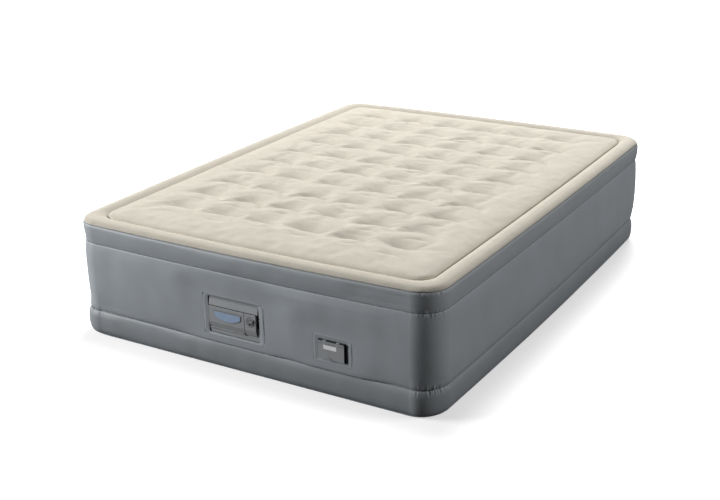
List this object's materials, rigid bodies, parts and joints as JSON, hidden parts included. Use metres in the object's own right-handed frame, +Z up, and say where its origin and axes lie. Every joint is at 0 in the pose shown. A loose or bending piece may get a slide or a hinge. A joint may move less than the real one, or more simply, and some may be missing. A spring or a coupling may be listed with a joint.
{
  "type": "inflatable air mattress",
  "caption": "Raised double air mattress: quilted cream top with a rolled rim, grey banded walls, built-in electric pump and a hinged-lid air port in one end.",
  "frame": {"origin": "on the floor at the centre of the bed", "axes": "+Z up, +Y along the bed's length, +X across it; the pump and the air port are in the end wall that faces -Y"},
  "size_m": [1.5196, 2.0299, 0.46],
  "materials": {
    "cream_flock": "flocked vinyl, matt and soft",
    "cream_vinyl": "smooth vinyl with a slight sheen",
    "grey_flock": "flocked vinyl, matt",
    "grey_seam": "welded vinyl bead, satin",
    "clear_vinyl": "plain vinyl sheet inside the bed",
    "fibre": "bundled polyester fibre",
    "pump_grey": "moulded, fine matt texture",
    "pump_dark": "moulded, matt",
    "box_dark": "moulded, matt",
    "lid_grey": "moulded, satin",
    "badge_blue": "blue-grey gloss inlay",
    "knob_grey": "moulded, satin",
    "white_label": "plain white plate",
    "black_rubber": "matt rubber",
    "cord_black": "cable sheath",
    "steel": "plain steel",
    "motor_steel": "zinc-plated steel",
    "bronze": "sintered bronze",
    "board_green": "circuit board"
  },
  "bodies": {
    "bed": {"top_sheet": "cream_flock", "panel_weld": "cream_vinyl", "rim_bolster": "cream_flock", "rim_weld": "cream_vinyl", "upper_wall": "grey_flock", "upper_seam": "grey_seam", "main_wall": "grey_flock", "lower_seam": "grey_seam", "base_wall": "grey_flock", "bottom_sheet": "grey_flock", "comfort_diaphragm": "clear_vinyl", "base_diaphragm": "clear_vinyl", "fibre_columns": "fibre", "support_posts": "fibre", "base_webs": "clear_vinyl", "pump_collar": "grey_seam", "pump_faceplate": "pump_grey", "pump_housing": "pump_dark", "pump_rear_cover": "pump_dark", "screw_bosses": "pump_dark", "cover_screws": "steel", "door_pin": "steel", "cord_tray": "pump_dark", "cord_grommet": "black_rubber", "power_cord": "cord_black", "power_plug": "cord_black", "selector_switch": "pump_dark", "diverter_housing": "pump_dark", "air_duct": "pump_dark", "outlet_duct": "pump_dark", "outlet_flap_pin": "steel", "motor_can": "motor_steel", "motor_stator": "motor_steel", "motor_bearings": "bronze", "motor_mounts": "black_rubber", "motor_cradle": "pump_dark", "fan_shroud": "pump_dark", "control_board": "board_green", "port_collar": "grey_seam", "port_tub": "box_dark", "lid_pin": "steel", "port_gasket": "black_rubber", "port_flap_pin": "steel"},
    "cord_door": {"cord_door": "pump_grey", "door_badge": "badge_blue"},
    "selector": {"selector_knob": "knob_grey", "selector_shaft": "steel", "diverter_drum": "pump_dark"},
    "fan_rotor": {"motor_shaft": "steel", "motor_armature": "motor_steel", "impeller": "pump_dark"},
    "outlet_flap": {"outlet_flap": "black_rubber"},
    "port_lid": {"port_lid": "lid_grey", "lid_label": "white_label", "port_seal_pad": "black_rubber"},
    "port_flap": {"port_flap": "black_rubber"}
  },
  "joints": [
    {"name": "cord_door_hinge", "type": "hinge", "parent": "bed", "child": "cord_door", "pos_m": [-0.058, -1.0046, 0.1538], "axis": [1, 0, 0], "range_deg": [0, 100]},
    {"name": "selector_turn", "type": "hinge", "parent": "bed", "child": "selector", "pos_m": [0.046, -1.002, 0.208], "axis": [0, -1, 0], "range_deg": [-60, 60]},
    {"name": "fan_spin", "type": "hinge", "parent": "bed", "child": "fan_rotor", "pos_m": [-0.03, -0.91, 0.198], "axis": [1, 0, 0], "continuous": true},
    {"name": "outlet_flap_hinge", "type": "hinge", "parent": "bed", "child": "outlet_flap", "pos_m": [0.046, -0.8584, 0.232], "axis": [1, 0, 0], "range_deg": [0, 60]},
    {"name": "port_lid_hinge", "type": "hinge", "parent": "bed", "child": "port_lid", "pos_m": [0.373, -1.0129, 0.2095], "axis": [-1, 0, 0], "range_deg": [0, 120]},
    {"name": "port_flap_hinge", "type": "hinge", "parent": "bed", "child": "port_flap", "pos_m": [0.373, -0.9656, 0.1955], "axis": [1, 0, 0], "range_deg": [0, 70]}
  ]
}
